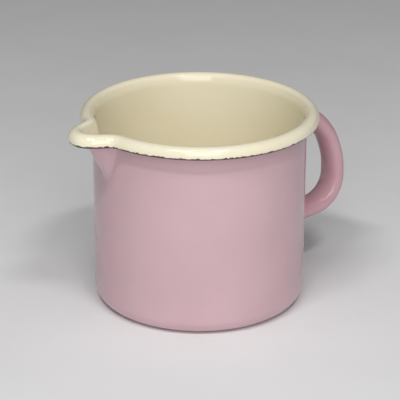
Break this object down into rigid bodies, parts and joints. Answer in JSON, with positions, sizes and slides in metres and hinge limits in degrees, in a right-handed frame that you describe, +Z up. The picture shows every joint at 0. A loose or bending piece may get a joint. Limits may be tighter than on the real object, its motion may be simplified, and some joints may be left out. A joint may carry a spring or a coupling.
{
  "type": "enamelled pouring pot",
  "caption": "Round straight-sided enamelled steel pot with a rolled lip, a pressed pouring spout and a hollow loop handle, for melting and pouring candle wax.",
  "frame": {"origin": "centre of the face that the pot stands on", "axes": "+Z up along the pot's axis; the spout points along -X and the handle stands on the +X side; XZ is the mirror plane"},
  "size_m": [0.1832, 0.137, 0.1155],
  "materials": {
    "steel": "bare drawn steel, hidden under the enamel",
    "weld": "as-welded steel, hidden under the enamel",
    "ground_coat": "dark vitreous ground coat, glossy",
    "cream_enamel": "glossy vitreous enamel, cream",
    "pink_enamel": "glossy vitreous enamel, dusty pink"
  },
  "bodies": {
    "root": {"vessel_steel": "steel", "handle_outer_shell": "steel", "handle_inner_shell": "steel", "upper_handle_weld": "weld", "lower_handle_weld": "weld", "inside_ground_coat": "ground_coat", "outside_ground_coat": "ground_coat", "lip_edge_ground_coat": "ground_coat", "handle_ground_coat": "ground_coat", "inside_cream_enamel": "cream_enamel", "outside_pink_enamel": "pink_enamel", "handle_pink_enamel": "pink_enamel"}
  },
  "joints": []
}
